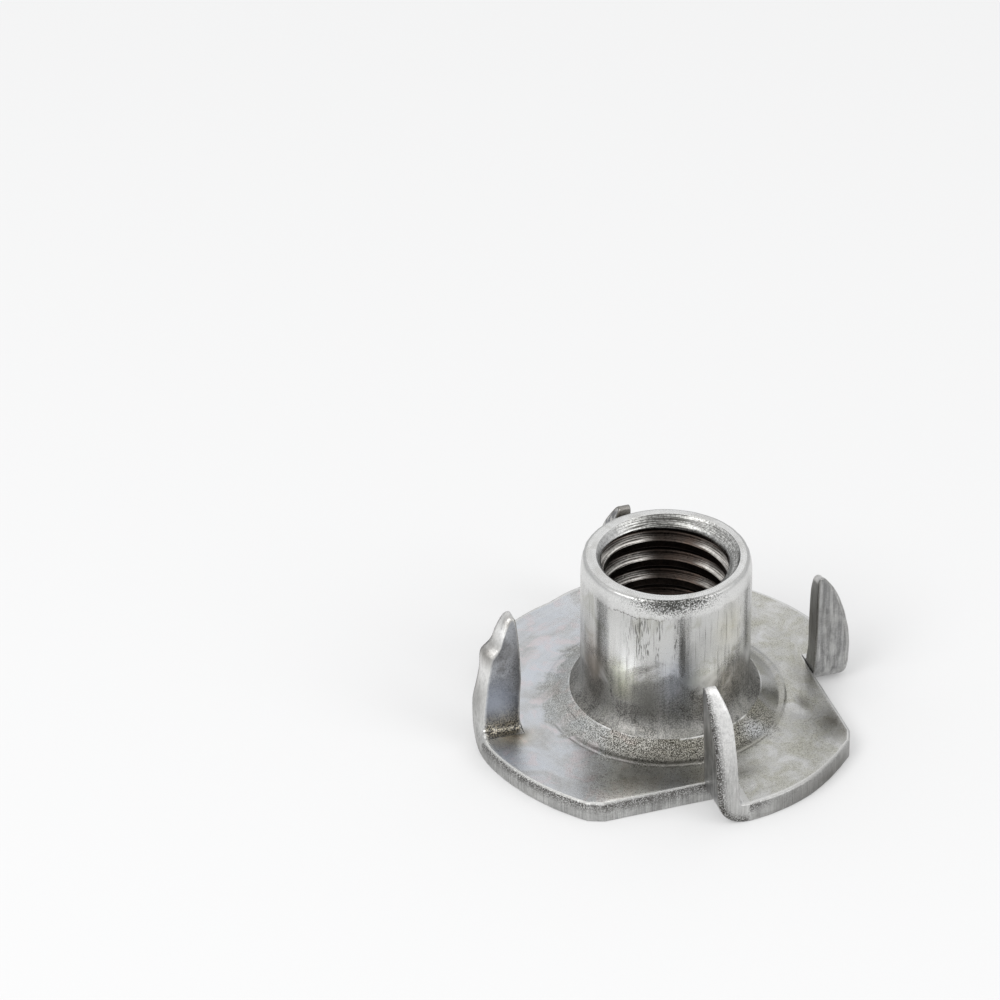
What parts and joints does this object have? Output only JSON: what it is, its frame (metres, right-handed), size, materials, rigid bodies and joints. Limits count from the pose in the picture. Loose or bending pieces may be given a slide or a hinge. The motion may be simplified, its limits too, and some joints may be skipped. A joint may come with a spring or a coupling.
{
  "type": "tee nut",
  "caption": "Round stamped steel flange with a threaded barrel drawn up from its centre and prongs folded up from its rim, which bite into wood to hold the thread there.",
  "frame": {"origin": "on the axis of the bore, at the underside of the flange", "axes": "+Z along the axis of the bore, from the flange to the open end of the barrel; +X through the middle of one straight sheared edge of the rim, beside one prong"},
  "size_m": [0.022, 0.022, 0.0105],
  "materials": {
    "steel": "bare drawn and pressed steel, satin, with drawing streaks on the barrel"
  },
  "bodies": {
    "root": {"tee_nut": "steel"}
  },
  "joints": []
}
